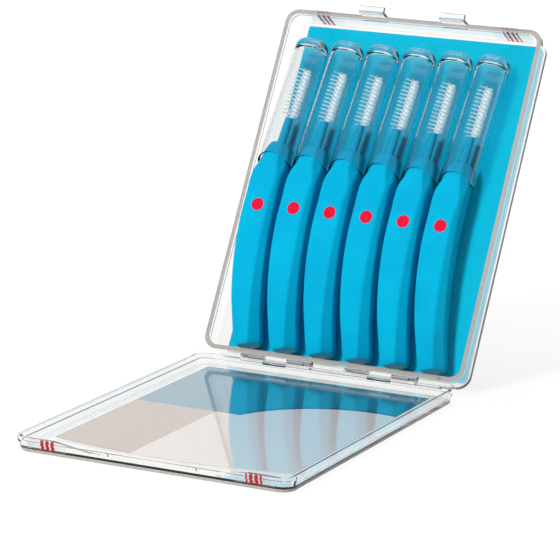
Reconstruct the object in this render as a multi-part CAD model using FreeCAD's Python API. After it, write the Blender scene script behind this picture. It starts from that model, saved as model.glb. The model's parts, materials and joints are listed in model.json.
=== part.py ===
import FreeCAD, Part
import math
import os

# Six capped interdental brushes in a hinged clear case that stands open.
# Millimetres. +X is right, +Y is back, +Z is up. The lid lies flat on the table with its underside
# centred on the origin, and the tray leans back behind it on the hinge and on its heel rib.
# The tray and what it holds are built flat, with u across, v up from the hinge axis and w out of
# the tray from the hinge axis, and are then turned up by the lean angle.

# Case tray
TRAY_WALL = 0.9
TRAY_FLOOR = 0.9
TRAY_DRAFT = 0.3
TRAY_LIP_HEIGHT = 2.0
CASE_LIP_STEP = 0.35
CASE_CORNER_RADIUS = 4.0
FINGER_STRIP = 5.0
HEAD_ROOM = 6.8
BRUSH_PROUD = 2.3
HEEL_HEIGHT = 2.2
HEEL_THICKNESS = 1.6
HEEL_WIDTH = 62.0
HEEL_ROUND = 0.3

# Case lid
LID_SIDE_INSET = 0.4
LID_FRONT_INSET = 0.6
LID_CLOSED_GAP = 0.28
LID_FLOOR = 1.4
LID_WALL = 1.1
LID_DRAFT = 0.3
LID_LIP_HEIGHT = 1.5
LID_LEDGE_WIDTH = 0.6
LID_LEDGE_DROP = 1.2
LID_FLOOR_ROUND = 0.6
NOTCH_WIDTH = 56.0
NOTCH_DEPTH = 2.3
CATCH_WIDTH = 1.0
CATCH_THICKNESS = 0.6

# Hinge: lugs on the tray, knuckles with stub pins on the lid
BARREL_RADIUS = 1.05
BARREL_GAP = 0.25
HINGE_DROP = 0.1
RIM_GAP = 0.1
HINGE_SPACING = 32.6
KNUCKLE_LENGTH = 7.0
LUG_LENGTH = 7.4
HINGE_SIDE_GAP = 0.1
PIN_RADIUS = 0.55
PIN_REACH = 5.0
PIN_CLEARANCE = 0.06

# Latch fingers on the tray, which close over the lid's front wall
LATCH_SPACING = 25.4
LATCH_WIDTH = 7.7
LATCH_GAP = 0.3
LATCH_CLEARANCE = 0.1
LATCH_THICKNESS = 0.9
LATCH_REACH = 2.8
LATCH_FLARE = 1.3
LATCH_FLARE_THICKNESS = 1.0
LATCH_BUMP_HEIGHT = 0.6

# Films and card
FILM_THICKNESS = 0.12
SEAL_WIDTH = 11.4
SEAL_EDGE = 0.7
LABEL_MARGIN = 4.0
LABEL_FRONT_GAP = 11.0
LABEL_ARCH = 4.0
CARD_THICKNESS = 0.5
CARD_LEFT_GAP = 3.3
CARD_RIGHT_GAP = 0.5
CARD_END_GAP = 0.9
CARD_LEFT_CORNER = 0.4
CARD_RIGHT_CORNER = 1.5

# Brushes
BRUSH_COUNT = 6
BRUSH_GAP = 1.1
BRUSH_SIDE_GAP = 0.2
BRUSH_FLOOR_GAP = 0.2
BRUSH_END_GAP = 0.3
BRUSH_TILT = 4.0
HANDLE_LENGTH = 52.8
HANDLE_BEND_RADIUS = 137.0
HANDLE_WIDTH = 9.4
HANDLE_WIDEST_SHARE = 0.32
SHOULDER_NARROWING = 0.6
END_NARROWING = 2.6
HANDLE_THICKNESS = 7.6
SHOULDER_THINNING = 0.4
HANDLE_FRONT_FALL = 0.9
HANDLE_STATIONS = 8
HANDLE_EDGE_RADIUS = 0.7
HANDLE_CREASE_RADIUS = 1.3
HANDLE_FLANK_RADIUS = 1.5
HANDLE_BACK_RADIUS = 2.6
CREASE_SHARE = 0.15
CREASE_END_SHARE = 0.40
FLANK_SHARE = 0.20
FLANK_END_SHARE = 0.46
END_ROUND_INSETS = (0.0, 0.4, 1.5)
END_ROUND_SIZES = (0.72, 0.92, 1.0)
NOSE_LENGTH = 9.6
NOSE_TOP_WIDTH = 3.6
NOSE_CORNER_RADIUS = 2.9
NOSE_CREASE_SHARE = 0.28
NOSE_FLANK_SHARE = 0.34
NOSE_STATIONS = (0.35, 0.6, 0.8, 0.93, 1.0)
NECK_LENGTH = 8.0
NECK_BASE_RADIUS = 1.3
NECK_TIP_RADIUS = 1.1
WIRE_RADIUS = 0.35
WIRE_SOCKET = 5.0
WIRE_TIP = 0.4
BRISTLE_GAP = 0.3
BRISTLE_LENGTH = 15.2
BRISTLE_RADIUS = 2.4
BRISTLE_ROOT_RADIUS = 1.0
BRISTLE_ROWS = 13
BRISTLE_ROW_FILL = 0.62
DOT_RADIUS = 1.9
DOT_DEPTH = 0.4
DOT_BELOW_SHOULDER = 10.6
DOT_OFFSET = 0.1

# Caps
CAP_LENGTH = 40.0
CAP_WALL = 0.6
CAP_FIT = 0.2
CAP_WIDTH_TAPER = 0.8
CAP_THICKNESS_TAPER = 0.6
CAP_START = 2.8
CAP_END_ROUND = 3.2
CAP_END_WALL = 2.2
CAP_SADDLE_RISE = 2.8
CAP_SIDE_FLAT = 0.8

# The handle narrows from its widest place, and the cap fits over its shoulder.
HANDLE_SHOULDER_WIDTH = HANDLE_WIDTH - SHOULDER_NARROWING
HANDLE_END_WIDTH = HANDLE_WIDTH - END_NARROWING
HANDLE_SHOULDER_THICKNESS = HANDLE_THICKNESS - SHOULDER_THINNING
CAP_BASE_WIDTH = HANDLE_SHOULDER_WIDTH + 2 * (CAP_FIT + CAP_WALL)
CAP_TIP_WIDTH = CAP_BASE_WIDTH - CAP_WIDTH_TAPER
CAP_BASE_THICKNESS = HANDLE_SHOULDER_THICKNESS + 2 * (CAP_FIT + CAP_WALL)
CAP_TIP_THICKNESS = CAP_BASE_THICKNESS - CAP_THICKNESS_TAPER

# The row of brushes: how far one reaches to each side of its shoulder, and the pitch
TILT = math.radians(BRUSH_TILT)
END_TURN = HANDLE_LENGTH / HANDLE_BEND_RADIUS - TILT
HANDLE_BOW = HANDLE_BEND_RADIUS * (1 - math.cos(TILT))
HANDLE_SWING = HANDLE_BEND_RADIUS * (math.cos(TILT) - math.cos(END_TURN))
HANDLE_DROP = HANDLE_BEND_RADIUS * (math.sin(END_TURN) + math.sin(TILT))
BRISTLE_START = NOSE_LENGTH + NECK_LENGTH + BRISTLE_GAP
CAP_TOP = CAP_START + CAP_LENGTH
BRUSH_PITCH = max(CAP_BASE_WIDTH, HANDLE_WIDTH) / math.cos(TILT) + BRUSH_GAP
REACH_LEFT = max(CAP_BASE_WIDTH / 2, HANDLE_WIDTH / 2 + HANDLE_BOW)
REACH_RIGHT = max(HANDLE_SWING + HANDLE_END_WIDTH / 2, CAP_TOP * math.sin(TILT) + CAP_TIP_WIDTH / 2)
ROW_WIDTH = REACH_LEFT + (BRUSH_COUNT - 1) * BRUSH_PITCH + REACH_RIGHT

# The case is sized round the row.
HINGE_OFFSET = BARREL_RADIUS + BARREL_GAP
WALL_INSET = TRAY_WALL + CASE_LIP_STEP
FLOOR_HALF = (BRUSH_SIDE_GAP + ROW_WIDTH + FINGER_STRIP) / 2
INNER_HALF = FLOOR_HALF + TRAY_DRAFT
INNER_LOW = HINGE_OFFSET + WALL_INSET
SHOULDER_V = INNER_LOW + BRUSH_END_GAP + HANDLE_END_WIDTH / 2 * math.sin(END_TURN) + HANDLE_DROP
INNER_TOP = SHOULDER_V + CAP_TOP * math.cos(TILT) + HEAD_ROOM + TRAY_DRAFT
TRAY_TOP = INNER_TOP + WALL_INSET
TRAY_WIDTH = 2 * (INNER_HALF + WALL_INSET)
TRAY_HEIGHT = TRAY_TOP - HINGE_OFFSET
TRAY_DEPTH = TRAY_FLOOR + CARD_THICKNESS + BRUSH_FLOOR_GAP + CAP_BASE_THICKNESS - BRUSH_PROUD
LID_WIDTH = TRAY_WIDTH - 2 * LID_SIDE_INSET
LID_LENGTH = TRAY_HEIGHT - LID_FRONT_INSET
LID_HEIGHT = LID_FLOOR + FILM_THICKNESS + LID_CLOSED_GAP + BRUSH_PROUD - RIM_GAP
AXIS_Y = LID_LENGTH / 2 + HINGE_OFFSET
AXIS_Z = LID_HEIGHT - HINGE_DROP
RIM_W = -(HINGE_DROP + RIM_GAP)
BACK_W = RIM_W - TRAY_DEPTH
FLOOR_W = BACK_W + TRAY_FLOOR
CARD_W = FLOOR_W + CARD_THICKNESS
HEEL_W = BACK_W - HEEL_HEIGHT
BRUSH_W = CARD_W + BRUSH_FLOOR_GAP + CAP_BASE_THICKNESS / 2
SEAL_X = LID_WIDTH / 2 - CASE_LIP_STEP - LID_DRAFT - CASE_CORNER_RADIUS - SEAL_WIDTH / 2

# The tray leans back until the rounded edge of its heel rib meets the table.
HEEL_REACH = -HEEL_W - HEEL_ROUND
HEEL_OFFSET = HINGE_OFFSET + HEEL_ROUND
LEAN = math.degrees(
    math.asin((AXIS_Z - HEEL_ROUND) / math.hypot(HEEL_REACH, HEEL_OFFSET))
    + math.atan2(HEEL_OFFSET, HEEL_REACH)
)

X_AXIS = FreeCAD.Vector(1, 0, 0)
Y_AXIS = FreeCAD.Vector(0, 1, 0)
Z_AXIS = FreeCAD.Vector(0, 0, 1)
TRAY_PLACE = FreeCAD.Placement(FreeCAD.Vector(0, AXIS_Y, AXIS_Z), FreeCAD.Rotation(X_AXIS, 90 - LEAN))


def vec(x, y, z=0.0):
    return FreeCAD.Vector(x, y, z)


def segment(a, b):
    return Part.LineSegment(a, b).toShape()


def arc(a, middle, b):
    return Part.Arc(a, middle, b).toShape()


def box(x0, x1, y0, y1, z0, z1):
    return Part.makeBox(x1 - x0, y1 - y0, z1 - z0, vec(x0, y0, z0))


def rounded_wire(corners, radii):
    """A flat closed wire through convex corners, anticlockwise, each rounded by its radius."""
    starts, middles, ends = [], [], []
    count = len(corners)
    for index, radius in enumerate(radii):
        corner = corners[index]
        back = (corners[index - 1] - corner).normalize()
        ahead = (corners[(index + 1) % count] - corner).normalize()
        half_angle = back.getAngle(ahead) / 2
        inward = (back + ahead).normalize()
        starts.append(corner + back * (radius / math.tan(half_angle)))
        middles.append(corner + inward * (radius / math.sin(half_angle) - radius))
        ends.append(corner + ahead * (radius / math.tan(half_angle)))
    edges = []
    for index in range(count):
        edges.append(arc(starts[index], middles[index], ends[index]))
        edges.append(segment(ends[index], starts[(index + 1) % count]))
    return Part.Wire(edges)


def rectangle(half_width, low, high):
    """The corners of a rectangle about the y axis, from low-left anticlockwise."""
    return [vec(-half_width, low), vec(half_width, low), vec(half_width, high), vec(-half_width, high)]


def arch_radius(half_width, rise):
    return (half_width ** 2 + rise ** 2) / (2 * rise)


def outline(half_width, low, high, radius, height):
    wire = rounded_wire(rectangle(half_width, low, high), [radius] * 4)
    wire.translate(vec(0, 0, height))
    return wire


def loft(wires, ruled=False):
    return Part.makeLoft(wires, True, ruled)


def prism(half_width, low, high, radius, bottom, top):
    return Part.Face(outline(half_width, low, high, radius, bottom)).extrude(vec(0, 0, top - bottom))


# Case tray, built flat: u, v, w


def tray_outer():
    half = TRAY_WIDTH / 2
    low = HINGE_OFFSET
    top = TRAY_TOP
    step_w = RIM_W - TRAY_LIP_HEIGHT
    lip = prism(half, low, top, CASE_CORNER_RADIUS, step_w, RIM_W)
    inset = CASE_LIP_STEP + TRAY_DRAFT
    shell = loft(
        [
            outline(half - inset, low, top - inset, CASE_CORNER_RADIUS, BACK_W),
            outline(half - CASE_LIP_STEP, low, top - CASE_LIP_STEP, CASE_CORNER_RADIUS, step_w),
        ],
        ruled=True,
    )
    return lip.fuse(shell)


def tray_cavity():
    corner = CASE_CORNER_RADIUS - TRAY_WALL
    return loft(
        [
            outline(INNER_HALF - TRAY_DRAFT, INNER_LOW, INNER_TOP - TRAY_DRAFT, corner, FLOOR_W),
            outline(INNER_HALF, INNER_LOW, INNER_TOP, corner, RIM_W),
        ],
        ruled=True,
    )


def heel_rib():
    """A rib on the back of the hinge wall, whose rounded lower edge stands on the table."""
    half = HEEL_WIDTH / 2
    rib = box(-half, half, HINGE_OFFSET, HINGE_OFFSET + HEEL_THICKNESS, HEEL_W, FLOOR_W)
    foot = []
    for edge in rib.Edges:
        centre = edge.CenterOfMass
        if math.isclose(centre.y, HINGE_OFFSET) and math.isclose(centre.z, HEEL_W):
            foot.append(edge)
    return rib.makeFillet(HEEL_ROUND, foot)


def hinge_barrel(x0, x1, web_low, web_high):
    """A barrel on the hinge axis with a web beside it, between w = -BARREL_RADIUS and the axis."""
    barrel = Part.makeCylinder(BARREL_RADIUS, x1 - x0, vec(x0, 0, 0), X_AXIS)
    return barrel.fuse(box(x0, x1, web_low, web_high, -BARREL_RADIUS, RIM_W))


def hinge_stations():
    return [-HINGE_SPACING / 2, HINGE_SPACING / 2]


def lug_spans(centre):
    inner = KNUCKLE_LENGTH / 2 + HINGE_SIDE_GAP
    outer = inner + LUG_LENGTH
    return [(centre - outer, centre - inner), (centre + inner, centre + outer)]


def latch_finger(centre):
    """A finger that reaches out of the rim over the lid's front wall and flares out for the thumb."""
    u0 = centre - LATCH_WIDTH / 2
    u1 = centre + LATCH_WIDTH / 2
    face = HINGE_OFFSET + LID_LENGTH + LATCH_GAP
    back = face + LATCH_THICKNESS
    tip = RIM_W + LATCH_REACH
    root = box(u0, u1, TRAY_TOP - CASE_LIP_STEP, back, RIM_W - TRAY_LIP_HEIGHT, RIM_W)
    finger = box(u0, u1, face, back, RIM_W - LATCH_THICKNESS, tip)
    flare = box(u0, u1, back, back + LATCH_FLARE, tip - LATCH_FLARE_THICKNESS, tip)
    bump = box(
        u0 + LATCH_BUMP_HEIGHT, u1 - LATCH_BUMP_HEIGHT,
        face - LATCH_GAP + LATCH_CLEARANCE, face,
        tip - LATCH_BUMP_HEIGHT, tip,
    )
    return root.multiFuse([finger, flare, bump])


def case_tray():
    additions = [heel_rib()]
    for centre in hinge_stations():
        for x0, x1 in lug_spans(centre):
            additions.append(hinge_barrel(x0, x1, 0.0, HINGE_OFFSET + CASE_LIP_STEP))
    for side in (-1, 1):
        additions.append(latch_finger(side * LATCH_SPACING / 2))
    tray = tray_outer().cut(tray_cavity()).multiFuse(additions)
    bores = []
    for centre in hinge_stations():
        half = KNUCKLE_LENGTH / 2 + HINGE_SIDE_GAP + LUG_LENGTH
        bores.append(
            Part.makeCylinder(PIN_RADIUS + PIN_CLEARANCE, 2 * half, vec(centre - half, 0, 0), X_AXIS)
        )
    return tray.cut(Part.Compound(bores)).removeSplitter()


def film_strip(face, step, slope, high, low, step_at, side, place):
    """A film of one thickness that follows a lip, its step and the sloping wall below it."""
    t = FILM_THICKNESS
    fall = slope * (step_at - low)
    inner = [
        vec(0, face, high),
        vec(0, face, step_at),
        vec(0, face - step, step_at),
        vec(0, face - step - fall, low),
    ]
    outer = [
        vec(0, face - step - fall + t, low),
        vec(0, face - step + t, step_at - t),
        vec(0, face + t, step_at - t),
        vec(0, face + t, high),
    ]
    profile = Part.Face(Part.makePolygon(inner + outer + inner[:1]))
    film = profile.extrude(vec(SEAL_WIDTH, 0, 0))
    film.translate(vec(side * SEAL_X - SEAL_WIDTH / 2, 0, 0))
    film.Placement = place.multiply(film.Placement)
    return film


def tray_seal(side):
    """Half of a cut seal, on the outside of the tray's top wall."""
    step_w = RIM_W - TRAY_LIP_HEIGHT
    slope = TRAY_DRAFT / (step_w - BACK_W)
    low = BACK_W + SEAL_EDGE
    return film_strip(TRAY_TOP, CASE_LIP_STEP, slope, RIM_W, low, step_w, side, TRAY_PLACE)


def backing_card():
    """The card, which lies to the right in the tray and leaves a clear strip at the left."""
    left = -FLOOR_HALF + CARD_LEFT_GAP
    right = FLOOR_HALF - CARD_RIGHT_GAP
    low = INNER_LOW + CARD_END_GAP
    high = INNER_TOP - TRAY_DRAFT - CARD_END_GAP
    corners = [vec(left, low), vec(right, low), vec(right, high), vec(left, high)]
    radii = [CARD_LEFT_CORNER, CARD_RIGHT_CORNER, CARD_RIGHT_CORNER, CARD_LEFT_CORNER]
    wire = rounded_wire(corners, radii)
    wire.translate(vec(0, 0, FLOOR_W))
    return Part.Face(wire).extrude(vec(0, 0, CARD_THICKNESS))


# Case lid, built in place: x, y, z


def lid_outer():
    half = LID_WIDTH / 2
    front = -LID_LENGTH / 2
    back = LID_LENGTH / 2
    step_z = LID_HEIGHT - LID_LIP_HEIGHT
    lip = prism(half, front, back, CASE_CORNER_RADIUS, step_z, LID_HEIGHT)
    inset = CASE_LIP_STEP + LID_DRAFT
    shell = loft(
        [
            outline(half - inset, front + inset, back, CASE_CORNER_RADIUS, 0.0),
            outline(half - CASE_LIP_STEP, front + CASE_LIP_STEP, back, CASE_CORNER_RADIUS, step_z),
        ],
        ruled=True,
    )
    floor_edges = [edge for edge in shell.Edges if edge.BoundBox.ZMax < 1e-6]
    return lip.fuse(shell.makeFillet(LID_FLOOR_ROUND, floor_edges))


def lid_cavity():
    wall = LID_WALL
    ledge = LID_WALL + LID_LEDGE_WIDTH
    half = LID_WIDTH / 2
    end = LID_LENGTH / 2
    corner = CASE_CORNER_RADIUS - LID_WALL
    upper = prism(
        half - wall, -end + wall, end - wall, corner, LID_HEIGHT - LID_LEDGE_DROP, LID_HEIGHT + LID_WALL
    )
    lower = prism(
        half - ledge, -end + ledge, end - ledge, corner - LID_LEDGE_WIDTH, LID_FLOOR, LID_HEIGHT
    )
    return upper.fuse(lower)


def thumb_notch():
    """A long shallow scoop out of the front wall's outer skin."""
    radius = arch_radius(NOTCH_WIDTH / 2, NOTCH_DEPTH)
    start = -LID_LENGTH / 2 - LID_WALL
    centre_z = LID_HEIGHT - NOTCH_DEPTH + radius
    return Part.makeCylinder(radius, 2 * LID_WALL, vec(0, start, centre_z), Y_AXIS)


def catch_rib(centre):
    """A small upright rib on the wall behind the notch, beside a latch finger."""
    inner = -LID_LENGTH / 2 + LID_WALL
    return box(
        centre - CATCH_WIDTH / 2, centre + CATCH_WIDTH / 2,
        inner - CATCH_THICKNESS, inner,
        LID_FLOOR, LID_HEIGHT - LID_LEDGE_DROP,
    )


def lid_knuckle(centre):
    """A knuckle on the lid's back wall, with a stub pin into the lug on each side."""
    x0 = centre - KNUCKLE_LENGTH / 2
    x1 = centre + KNUCKLE_LENGTH / 2
    barrel = hinge_barrel(x0, x1, -HINGE_OFFSET - LID_WALL, 0.0)
    reach = HINGE_SIDE_GAP + PIN_REACH
    pin = Part.makeCylinder(PIN_RADIUS, x1 - x0 + 2 * reach, vec(x0 - reach, 0, 0), X_AXIS)
    knuckle = barrel.fuse(pin)
    knuckle.translate(vec(0, AXIS_Y, AXIS_Z))
    return knuckle


def case_lid():
    additions = []
    for side in (-1, 1):
        additions.append(catch_rib(side * LATCH_SPACING / 2))
    for centre in hinge_stations():
        additions.append(lid_knuckle(centre))
    return lid_outer().cut(lid_cavity()).cut(thumb_notch()).multiFuse(additions).removeSplitter()


def lid_label():
    """A thin film on the lid's floor, square at the back, with an arched front edge."""
    half = LID_WIDTH / 2 - LID_WALL - LID_LEDGE_WIDTH - LABEL_MARGIN
    inner = LID_LENGTH / 2 - LID_WALL - LID_LEDGE_WIDTH
    back = inner - LABEL_MARGIN
    front = LABEL_FRONT_GAP - inner
    left_back = vec(-half, back, LID_FLOOR)
    right_back = vec(half, back, LID_FLOOR)
    right_front = vec(half, front, LID_FLOOR)
    left_front = vec(-half, front, LID_FLOOR)
    edges = [
        segment(left_back, right_back),
        segment(right_back, right_front),
        arc(right_front, vec(0, front - LABEL_ARCH, LID_FLOOR), left_front),
        segment(left_front, left_back),
    ]
    return Part.Face(Part.Wire(edges)).extrude(vec(0, 0, FILM_THICKNESS))


def lid_seal(side):
    """The other half of a cut seal, on the outside of the lid's front wall."""
    step_z = LID_HEIGHT - LID_LIP_HEIGHT
    slope = LID_DRAFT / step_z
    low = LID_FLOOR_ROUND + SEAL_EDGE
    turned = FreeCAD.Placement(vec(0, 0), FreeCAD.Rotation(Z_AXIS, 180))
    return film_strip(LID_LENGTH / 2, CASE_LIP_STEP, slope, LID_HEIGHT, low, step_z, -side, turned)


# Brush, built along its own head: x across, y up the head from the shoulder, z out


def handle_section(place, width, front, back, crease, flank, edge_radius, back_radius):
    """A section of the handle: a flat front, a crease, a sloping right flank and a round back."""
    size = width / HANDLE_WIDTH
    half = width / 2
    corners = [
        vec(-half, back),
        vec(half, back),
        vec(half, front - (front - back) * flank),
        vec(half - width * crease, front),
        vec(-half, front),
    ]
    radii = [back_radius, back_radius, HANDLE_FLANK_RADIUS, HANDLE_CREASE_RADIUS, edge_radius]
    wire = rounded_wire(corners, [radius * size for radius in radii])
    wire.Placement = place
    return wire


def section_place(x, y, turn):
    """Stands a section across the handle's axis, which has turned by the given angle."""
    upright = FreeCAD.Rotation(X_AXIS, 90)
    return FreeCAD.Placement(vec(x, y), FreeCAD.Rotation(Z_AXIS, turn) * upright)


def bend_place(distance):
    """The place of a section at a distance down the bent axis from the shoulder."""
    turn = distance / HANDLE_BEND_RADIUS
    x = HANDLE_BEND_RADIUS * (1 - math.cos(turn))
    y = -HANDLE_BEND_RADIUS * math.sin(turn)
    return section_place(x, y, math.degrees(turn))


def handle_width(share):
    """The handle's width: it swells from the shoulder to its widest place and narrows to its end."""
    if share < HANDLE_WIDEST_SHARE:
        away = 1 - share / HANDLE_WIDEST_SHARE
        return HANDLE_WIDTH - (HANDLE_WIDTH - HANDLE_SHOULDER_WIDTH) * away ** 2
    away = (share - HANDLE_WIDEST_SHARE) / (1 - HANDLE_WIDEST_SHARE)
    return HANDLE_WIDTH - (HANDLE_WIDTH - HANDLE_END_WIDTH) * away ** 2


def handle_wire(distance, size):
    """The section at a distance down the handle, drawn in by a size factor near the end."""
    share = distance / HANDLE_LENGTH
    width = handle_width(share) * size
    front = HANDLE_SHOULDER_THICKNESS / 2 - HANDLE_FRONT_FALL * share ** 3
    thickness = HANDLE_SHOULDER_THICKNESS + (HANDLE_THICKNESS - HANDLE_SHOULDER_THICKNESS) * share
    back = HANDLE_SHOULDER_THICKNESS / 2 - thickness
    crease = CREASE_SHARE + (CREASE_END_SHARE - CREASE_SHARE) * share ** 2
    flank = FLANK_SHARE + (FLANK_END_SHARE - FLANK_SHARE) * share ** 2
    return handle_section(
        bend_place(distance), width, front * size, back * size,
        crease, flank, HANDLE_EDGE_RADIUS, HANDLE_BACK_RADIUS,
    )


def nose_wire(share):
    """A section of the nose, which rounds in like a quarter ellipse up to the neck."""
    rounding = math.sqrt(1 - share ** 2)
    width = NOSE_TOP_WIDTH + (HANDLE_SHOULDER_WIDTH - NOSE_TOP_WIDTH) * rounding
    depth = HANDLE_SHOULDER_THICKNESS / 2 * width / HANDLE_SHOULDER_WIDTH
    return handle_section(
        section_place(0, NOSE_LENGTH * share, 0), width, depth, -depth,
        NOSE_CREASE_SHARE, NOSE_FLANK_SHARE, NOSE_CORNER_RADIUS, NOSE_CORNER_RADIUS,
    )


def handle_blank():
    """The handle and its nose, lofted from the rounded end up to the neck."""
    wires = []
    for inset, size in zip(END_ROUND_INSETS, END_ROUND_SIZES):
        wires.append(handle_wire(HANDLE_LENGTH - inset, size))
    for station in range(HANDLE_STATIONS - 1, -1, -1):
        wires.append(handle_wire(HANDLE_LENGTH * station / HANDLE_STATIONS, 1.0))
    for share in NOSE_STATIONS:
        wires.append(nose_wire(share))
    return loft(wires)


def dot_place():
    """The centre of the dot's floor, let into the handle's flat front."""
    front = HANDLE_SHOULDER_THICKNESS / 2
    return bend_place(DOT_BELOW_SHOULDER).multVec(vec(DOT_OFFSET, front - DOT_DEPTH))


def size_dot():
    return Part.makeCylinder(DOT_RADIUS, DOT_DEPTH, dot_place(), Z_AXIS)


def handle():
    start = NOSE_LENGTH - NECK_BASE_RADIUS
    neck = Part.makeCone(
        NECK_BASE_RADIUS, NECK_TIP_RADIUS, NECK_LENGTH + NECK_BASE_RADIUS, vec(0, start), Y_AXIS
    )
    recess = Part.makeCylinder(DOT_RADIUS, HANDLE_THICKNESS, dot_place(), Z_AXIS)
    socket = Part.makeCylinder(
        WIRE_RADIUS, NECK_LENGTH, vec(0, NOSE_LENGTH + NECK_LENGTH - WIRE_SOCKET), Y_AXIS
    )
    return handle_blank().fuse(neck).cut(recess).cut(socket)


def core_wire():
    start = NOSE_LENGTH + NECK_LENGTH - WIRE_SOCKET
    end = BRISTLE_START + BRISTLE_LENGTH + WIRE_TIP
    return Part.makeCylinder(WIRE_RADIUS, end - start, vec(0, start), Y_AXIS)


def bristles():
    """The ring brush: rows of filaments as thin fins round a root sleeve on the wire."""
    pitch = BRISTLE_LENGTH / BRISTLE_ROWS
    fin = pitch * BRISTLE_ROW_FILL
    end = BRISTLE_START + BRISTLE_LENGTH
    points = [vec(WIRE_RADIUS, BRISTLE_START), vec(BRISTLE_ROOT_RADIUS, BRISTLE_START)]
    for row in range(BRISTLE_ROWS):
        low = BRISTLE_START + row * pitch + (pitch - fin) / 2
        points.append(vec(BRISTLE_ROOT_RADIUS, low))
        points.append(vec(BRISTLE_RADIUS, low))
        points.append(vec(BRISTLE_RADIUS, low + fin))
        points.append(vec(BRISTLE_ROOT_RADIUS, low + fin))
    points += [vec(BRISTLE_ROOT_RADIUS, end), vec(WIRE_RADIUS, end), points[0]]
    return Part.Face(Part.makePolygon(points)).revolve(vec(0, 0), Y_AXIS, 360)


def cap_section(y, width, thickness):
    radius = (thickness - CAP_SIDE_FLAT) / 2
    wire = rounded_wire(rectangle(width / 2, -thickness / 2, thickness / 2), [radius] * 4)
    wire.Placement = section_place(0, y, 0)
    return wire


def cap_form(inset, top):
    """The tapered form of the cap, drawn in by the inset, with its end rounded over."""
    taper = loft(
        [
            cap_section(CAP_START, CAP_BASE_WIDTH - 2 * inset, CAP_BASE_THICKNESS - 2 * inset),
            cap_section(top, CAP_TIP_WIDTH - 2 * inset, CAP_TIP_THICKNESS - 2 * inset),
        ],
        ruled=True,
    )
    end_edges = [edge for edge in taper.Edges if edge.BoundBox.YMin > top - CAP_WALL]
    return taper.makeFillet(CAP_END_ROUND - inset, end_edges)


def cap():
    """A thin hollow cap, whose open end is cut to a saddle."""
    deep = CAP_BASE_THICKNESS
    radius = arch_radius(CAP_BASE_WIDTH / 2, CAP_SADDLE_RISE)
    top = CAP_START + CAP_SADDLE_RISE
    saddle = Part.makeCylinder(radius, 2 * deep, vec(0, top - radius, -deep), Z_AXIS)
    outer = cap_form(0.0, CAP_TOP)
    inner = cap_form(CAP_WALL, CAP_TOP - CAP_END_WALL)
    return outer.cut(inner).cut(saddle)


def brush_place(index):
    """The shoulder of a brush in the tray, with its head tilted to the right."""
    first = -FLOOR_HALF + BRUSH_SIDE_GAP + REACH_LEFT
    turn = FreeCAD.Rotation(Z_AXIS, -BRUSH_TILT)
    return FreeCAD.Placement(vec(first + index * BRUSH_PITCH, SHOULDER_V, BRUSH_W), turn)


def export(shape, node, place=None):
    placed = shape.copy()
    if place is not None:
        placed.Placement = place.multiply(placed.Placement)
    placed.exportStep(f"parts/{node}.step")


def main():
    os.makedirs("parts", exist_ok=True)
    export(case_tray(), "case_tray", TRAY_PLACE)
    export(backing_card(), "backing_card", TRAY_PLACE)
    export(case_lid(), "case_lid")
    export(lid_label(), "lid_label")
    for side, name in ((-1, "left"), (1, "right")):
        export(tray_seal(side), f"tray_seal_{name}")
        export(lid_seal(side), f"lid_seal_{name}")
    pieces = {
        "handle": handle(),
        "core_wire": core_wire(),
        "bristles": bristles(),
        "size_dot": size_dot(),
        "cap": cap(),
    }
    for index in range(BRUSH_COUNT):
        place = TRAY_PLACE.multiply(brush_place(index))
        for name, shape in pieces.items():
            export(shape, f"{name}_{index + 1}", place)


main()
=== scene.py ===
"""Looks of a cased set of interdental brushes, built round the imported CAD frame.

Everything is in metres, in the CAD model's frame: +X right, +Y back and +Z up, with the lid on the
table at z = 0.
"""

import json
import logging
import math
import random
from dataclasses import dataclass
from enum import Enum
from typing import Any

import bpy
from mathutils import Matrix, Vector

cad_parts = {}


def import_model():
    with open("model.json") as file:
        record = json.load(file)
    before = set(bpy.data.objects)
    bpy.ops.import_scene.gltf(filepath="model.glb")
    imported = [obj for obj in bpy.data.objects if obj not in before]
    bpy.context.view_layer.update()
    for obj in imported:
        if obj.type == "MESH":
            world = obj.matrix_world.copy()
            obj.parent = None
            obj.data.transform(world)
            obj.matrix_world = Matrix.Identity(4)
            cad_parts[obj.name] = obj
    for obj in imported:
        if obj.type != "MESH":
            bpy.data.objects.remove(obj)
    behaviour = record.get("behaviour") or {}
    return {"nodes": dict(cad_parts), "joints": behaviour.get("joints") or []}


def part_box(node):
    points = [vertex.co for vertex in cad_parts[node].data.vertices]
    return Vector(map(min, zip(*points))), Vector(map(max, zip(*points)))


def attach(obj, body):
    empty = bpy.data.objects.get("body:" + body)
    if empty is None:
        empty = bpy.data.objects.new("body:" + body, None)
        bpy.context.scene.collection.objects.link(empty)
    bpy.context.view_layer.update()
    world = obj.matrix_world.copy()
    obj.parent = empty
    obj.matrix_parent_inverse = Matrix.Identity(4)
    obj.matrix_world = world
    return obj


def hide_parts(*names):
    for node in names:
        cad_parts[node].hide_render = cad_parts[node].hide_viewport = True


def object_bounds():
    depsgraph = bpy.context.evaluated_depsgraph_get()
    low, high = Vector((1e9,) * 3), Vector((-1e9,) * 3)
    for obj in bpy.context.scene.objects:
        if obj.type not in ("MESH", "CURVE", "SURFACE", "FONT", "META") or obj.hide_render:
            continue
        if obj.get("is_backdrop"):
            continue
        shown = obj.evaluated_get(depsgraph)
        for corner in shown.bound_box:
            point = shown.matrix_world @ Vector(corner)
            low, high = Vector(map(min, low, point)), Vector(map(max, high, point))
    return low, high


MM = 0.001
SEED = 7
BRUSHES = 6
WHITE = "#FFFFFF"
# A ray's depth counts whole bounces, so this parts none from one.
HALF_A_BOUNCE = 0.5
# The card and the films are drawn this far off the plastic, so that no two faces lie in one plane.
SHEET_LIFT_MM = 0.03
log = logging.getLogger("brush_case")


class Half(Enum):
    """The two halves of the case."""

    TRAY = "tray"
    LID = "lid"


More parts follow.
